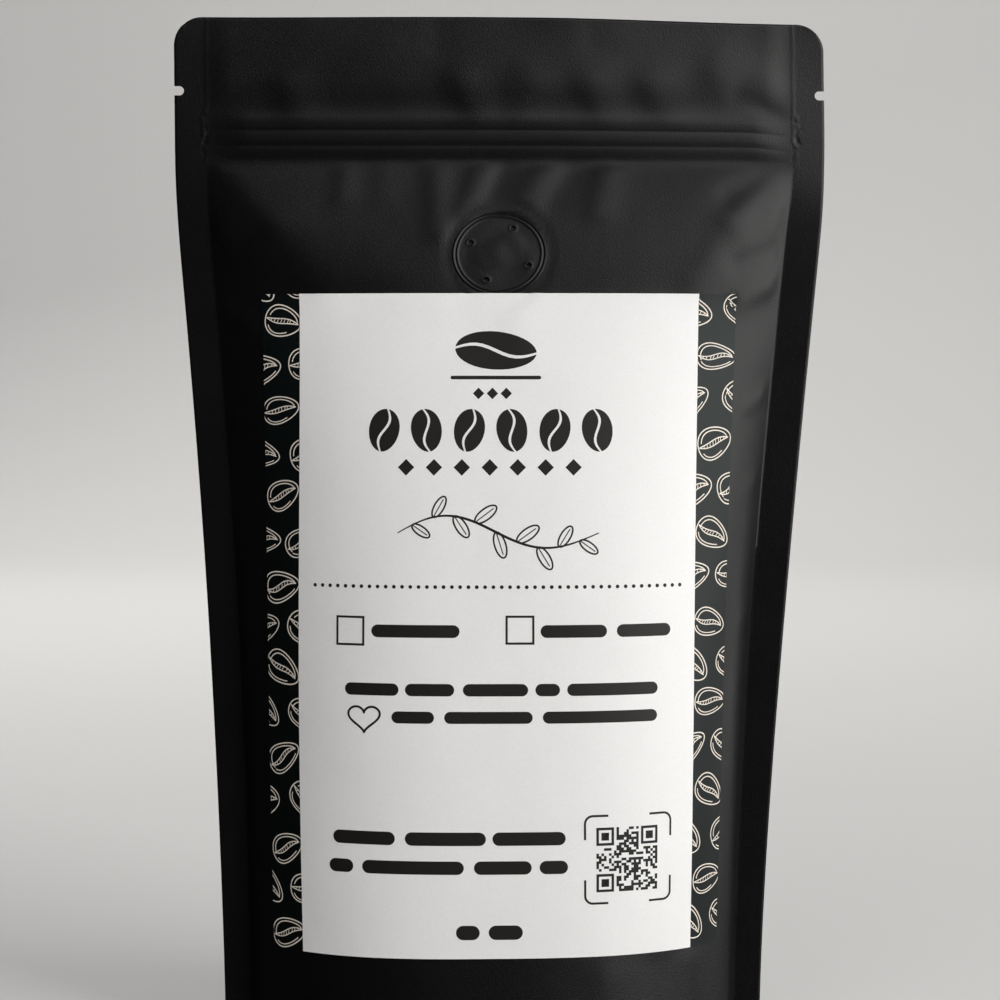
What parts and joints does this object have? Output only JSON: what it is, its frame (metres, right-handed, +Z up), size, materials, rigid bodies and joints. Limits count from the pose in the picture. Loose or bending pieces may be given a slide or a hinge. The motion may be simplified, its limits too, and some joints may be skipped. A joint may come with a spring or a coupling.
{
  "type": "coffee bag",
  "caption": "Filled stand-up coffee pouch of black film with sealed sides, a press-to-close strip, a one-way valve and a two-layer label on its front.",
  "frame": {"origin": "on the ground under the middle of the bag's bounding box", "axes": "+Z up along the bag's height, -Y out of the labelled front, +X to the right as seen from the front"},
  "size_m": [0.1846, 0.07, 0.2906],
  "materials": {
    "film": "matte",
    "valve": "matte",
    "label_dark": "satin",
    "label_white": "satin"
  },
  "bodies": {
    "root": {"pouch": "film", "degassing_valve": "valve", "label_backing": "label_dark", "label_face": "label_white"}
  },
  "joints": []
}
